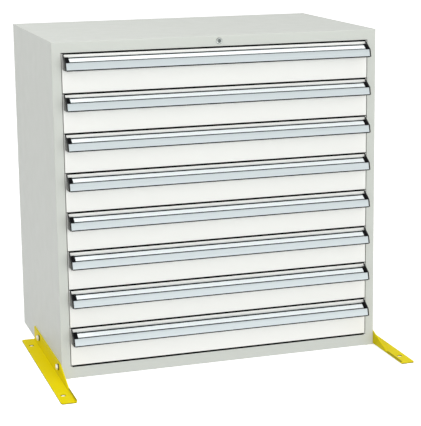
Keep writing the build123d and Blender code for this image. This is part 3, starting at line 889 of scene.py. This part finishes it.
class CABINET_OT_lock(bpy.types.Operator):
    """Model the turned bezel and barrel of the lock and its ring nut"""

    bl_idname = "cabinet.lock"
    bl_label = "Cylinder lock"

    def execute(self, context):
        settings = context.scene.cabinet_fitting
        low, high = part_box("lock_barrel")
        centre = Vector(((low.x + high.x) / 2, face_y, (low.z + high.z) / 2))
        proud, bore, slant = settings.bezel_proud, settings.plug_radius, 0.0016
        outer, shell, end = settings.bezel_radius, settings.barrel_radius, settings.barrel_length
        outline = [
            (bore, -0.85 * proud),
            (bore + slant / 4, -proud),
            (outer - slant, -proud),
            (outer, -0.55 * proud),
            (outer, 0),
            (shell, 0),
            (shell, end),
            (bore, end),
        ]
        points = [(centre.y + along, centre.z + radius) for radius, along in outline]
        bezel = draw_section("lock_bezel", points, centre.x, [(2, 0.0006, 3), (3, 0.0007, 3)])
        bpy.ops.mesh.select_mode(type="FACE")
        bpy.ops.mesh.select_all(action="SELECT")
        bpy.ops.mesh.delete(type="ONLY_FACE")
        bpy.ops.mesh.select_mode(type="EDGE")
        bpy.ops.mesh.select_all(action="SELECT")
        bpy.ops.mesh.spin(steps=settings.turns, angle=math.tau, center=centre, axis=(0, 1, 0))
        close_piece(bezel, smooth_angle=38.0)
        sheet, nut_height = 0.0012, 0.003
        nut = add_blank(
            "lock_nut",
            6,
            settings.nut_across / math.sqrt(3),
            nut_height,
            centre + Vector((0, sheet + nut_height / 2, 0)),
            along_y,
        )
        chamfer(nut, 0.0005, lambda face: abs(face.normal.y) > 0.9)
        close_piece(nut)
        barrel = joined([bezel, nut], "lock_bezel")
        fit_piece(barrel, "polished_chrome", "cabinet", "lock_chrome", "lock_barrel")
        return {"FINISHED"}


class CABINET_OT_bracket_bolts(bpy.types.Operator):
    """Model the bracket bolts with chamfered heads, washers, shanks and nuts"""

    bl_idname = "cabinet.bracket_bolts"
    bl_label = "Bracket bolts"

    def execute(self, context):
        settings = context.scene.cabinet_fitting
        low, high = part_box("bracket_fasteners")
        corner = settings.bolt_across / math.sqrt(3)
        height = (low.z + high.z) / 2
        first_y, last_y = low.y + corner, high.y - corner
        sheets, nut_height, shank, reach = 0.0042, 0.0065, 0.004, 0.008
        seat = high.x - settings.bolt_head
        inner, washer_face = seat - sheets, seat + settings.washer
        blanks = [
            ("bolt_head", 6, corner, washer_face, high.x + settings.washer, 0.0009),
            ("bolt_washer", 40, settings.washer_radius, seat, washer_face, 0.0003),
            ("bolt_shank", 24, shank, inner - reach, seat, 0.0005),
            ("bolt_nut", 6, corner, inner - nut_height, inner, 0.0008),
        ]
        parts = []
        for name, sides, radius, start, end, cut in blanks:
            place = ((start + end) / 2, first_y, height)
            part = add_blank(name, sides, radius, end - start, place, along_x)
            chamfer(part, cut, lambda face: abs(face.normal.x) > 0.9)
            parts.append(close_piece(part, smooth_angle=28.0))
        washer = parts.pop(1)
        step = (0, last_y - first_y, 0)
        bolts = joined(parts, "bracket_bolts")
        bolts = joined([bolts, copied(bolts, "rear_bolt", step)], "bracket_bolts")
        washers = joined([washer, copied(washer, "rear_washer", step)], "bracket_washers")
        for piece in (bolts, washers):
            only(piece)
            bpy.ops.object.mode_set(mode="EDIT")
            close_piece(piece, smooth_angle=28.0, mirrored=True)
        fit_piece(bolts, "bright_zinc", "cabinet", "zinc_fasteners", "bracket_fasteners")
        fit_piece(washers, "blackened_steel", "cabinet", "zinc_fasteners")
        return {"FINISHED"}


class CABINET_OT_rivets(bpy.types.Operator):
    """Model the rivet heads that hold each tray to its runners"""

    bl_idname = "cabinet.rivets"
    bl_label = "Tray rivets"

    def execute(self, context):
        settings = context.scene.cabinet_fitting
        tray_low, tray_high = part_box("drawer_1_tray")
        runner_low, runner_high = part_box("drawer_1_runners")
        height = (runner_low.z + runner_high.z) / 2
        tray_wall, head_height, sunk, cut = 0.001, 0.0012, 0.0001, 0.0007
        place_x = -tray_low.x - tray_wall - head_height / 2 + sunk
        heads = []
        for share in (0.06, 0.35, 0.65, 0.94):
            place = (place_x, tray_low.y + share * (tray_high.y - tray_low.y), height)
            head = add_blank("rivet_head", 12, settings.rivet_radius, head_height, place, along_x)
            chamfer(head, cut, lambda face: face.normal.x < -0.9)
            heads.append(close_piece(head, smooth_angle=60.0))
        rivets = joined(heads, "tray_rivets")
        bpy.ops.object.mode_set(mode="EDIT")
        close_piece(rivets, smooth_angle=60.0, mirrored=True)
        fit_down(rivets, "tray_rivets", "bright_zinc", "zinc_fasteners")
        return {"FINISHED"}


class CABINET_OT_studio(bpy.types.Operator):
    """Set the camera, the soft lights, the white surroundings and the pale floor"""

    bl_idname = "cabinet.studio"
    bl_label = "Studio"

    def execute(self, context):
        settings = context.scene.cabinet_studio
        scene = context.scene
        scene.view_settings.view_transform = "Standard"
        self.add_camera(scene, settings)
        self.add_surroundings(scene, settings)
        self.add_lights(settings)
        self.add_floor(settings)
        return {"FINISHED"}

    @staticmethod
    def add_camera(scene, settings):
        """Camera with the stated place, heading, tilt, roll and lens shift."""
        heading, tilt = settings.heading, settings.tilt
        reach = math.cos(tilt)
        forward = Vector(
            (-math.sin(heading) * reach, math.cos(heading) * reach, -math.sin(tilt))
        )
        level = Vector((math.cos(heading), math.sin(heading), 0))
        rise = level.cross(forward)
        lean = math.asin(math.sin(settings.roll) / reach)
        right = level * math.cos(lean) + rise * math.sin(lean)
        upward = right.cross(forward)
        bpy.ops.object.camera_add(location=settings.camera_place)
        camera = bpy.context.active_object
        camera.name = "studio_camera"
        camera.rotation_mode = "QUATERNION"
        turn = Matrix((right, upward, -forward)).transposed()
        camera.rotation_quaternion = turn.to_quaternion()
        camera.data.lens = settings.lens
        camera.data.sensor_width = 36
        camera.data.shift_x = settings.shift_x
        camera.data.shift_y = settings.shift_y
        camera.data.clip_end = 200
        scene.camera = camera

    @staticmethod
    def add_surroundings(scene, settings):
        """White surroundings, bright round the horizon and in front, dimmer elsewhere."""
        world = bpy.data.worlds.new("studio_surroundings")
        world.use_nodes = True
        tree = world.node_tree
        direction = tree.nodes.new("ShaderNodeTexCoord").outputs["Generated"]
        split = tree.nodes.new("ShaderNodeSeparateXYZ")
        tree.links.new(direction, split.inputs["Vector"])

        def step(axis, start, end):
            """Share that rises from 0 to 1 as the direction passes from start to end."""
            levels = (0, 1) if start < end else (1, 0)
            return ramp(tree, split.outputs[axis], sorted((start, end)), levels, "SMOOTHSTEP")

        in_front = combined(tree, "MULTIPLY", step("Y", -0.3, -0.75), step("Z", 0.75, 0.5))
        round_about, above_floor = step("Z", 0.36, 0.26), step("Z", -0.06, 0.0)
        bright = combined(tree, "MAXIMUM", round_about, in_front)
        bright = combined(tree, "MULTIPLY", bright, above_floor)
        level = ramp(tree, bright, (0, 1), (settings.dim_wall, settings.bright_wall))
        left = ramp(tree, step("X", -0.65, -0.2), (0, 1), (settings.left_share, 1))
        level = combined(tree, "MULTIPLY", level, left)
        # Past the floor the background is plain white.
        seen = tree.nodes.new("ShaderNodeLightPath").outputs["Is Camera Ray"]
        shown = combined(tree, "MAXIMUM", level, seen)
        tree.links.new(shown, tree.nodes["Background"].inputs["Color"])
        scene.world = world

    @staticmethod
    def add_lights(settings):
        """Three large soft lights that polished faces don't mirror."""
        aim = Vector((0, 0, cabinet_high.z / 2))
        lights = (
            ("front_light", settings.front_power, 1.6, Vector((-0.1, -5.2, 1.3))),
            ("left_light", settings.left_power, 1.2, Vector((-2.4, -0.2, 2.6))),
            ("top_light", settings.top_power, 2.4, Vector((0.0, -1.0, 4.2))),
        )
        for name, watts, size, place in lights:
            bpy.ops.object.light_add(type="AREA", location=place)
            light = bpy.context.active_object
            light.name = name
            light.data.energy = watts
            light.data.size = size
            light.visible_glossy = False
            light.rotation_mode = "QUATERNION"
            light.rotation_quaternion = (aim - place).to_track_quat("-Z", "Y")

    @staticmethod
    def add_floor(settings):
        """Pale floor with a faint mottle."""
        bpy.ops.mesh.primitive_plane_add(size=2 * settings.floor_reach)
        floor = open_piece("studio_floor")
        bpy.ops.mesh.subdivide(number_cuts=7)
        bpy.ops.object.mode_set(mode="OBJECT")
        tree, shader, place = new_finish("studio_floor", 0.0, 0.9)
        tone(tree, shader, noise(tree, place, 1.5), (1, 1, 1), 0.93, 0.95)
        shader.inputs["Specular IOR Level"].default_value = 0.1
        shader.inputs["Emission Color"].default_value = (1, 1, 1, 1)
        shader.inputs["Emission Strength"].default_value = settings.floor_glow
        floor.data.materials.append(finish_named("studio_floor"))
        floor.visible_diffuse = False


class CABINET_PT_looks(bpy.types.Panel):
    """Steps that dress the cabinet and set up the studio"""

    bl_idname = "CABINET_PT_looks"
    bl_label = "Drawer Cabinet"
    bl_space_type = "VIEW_3D"
    bl_region_type = "UI"
    bl_category = "Drawer Cabinet"

    def draw(self, context):
        for step in STEPS:
            self.layout.operator(step.bl_idname)


SETTINGS = {
    "cabinet_finish": FinishSettings,
    "cabinet_front": FrontSettings,
    "cabinet_handle": HandleSettings,
    "cabinet_fitting": FittingSettings,
    "cabinet_studio": StudioSettings,
}
STEPS = (
    CABINET_OT_finishes,
    CABINET_OT_sheet_and_slides,
    CABINET_OT_fronts,
    CABINET_OT_handles,
    CABINET_OT_labels,
    CABINET_OT_shade_strips,
    CABINET_OT_end_caps,
    CABINET_OT_lock,
    CABINET_OT_bracket_bolts,
    CABINET_OT_rivets,
    CABINET_OT_studio,
)


def register():
    """Register the settings, the operators and the panel."""
    for name, group in SETTINGS.items():
        bpy.utils.register_class(group)
        setattr(bpy.types.Scene, name, PointerProperty(type=group))
    for entry in (*STEPS, CABINET_PT_looks):
        bpy.utils.register_class(entry)


def unregister():
    """Take everything back that register added."""
    for entry in (CABINET_PT_looks, *reversed(STEPS)):
        bpy.utils.unregister_class(entry)
    for name, group in SETTINGS.items():
        delattr(bpy.types.Scene, name)
        bpy.utils.unregister_class(group)


def main():
    """Run every step in order."""
    register()
    for step in STEPS:
        group, name = step.bl_idname.split(".")
        getattr(getattr(bpy.ops, group), name)()


if __name__ == "__main__":
    main()
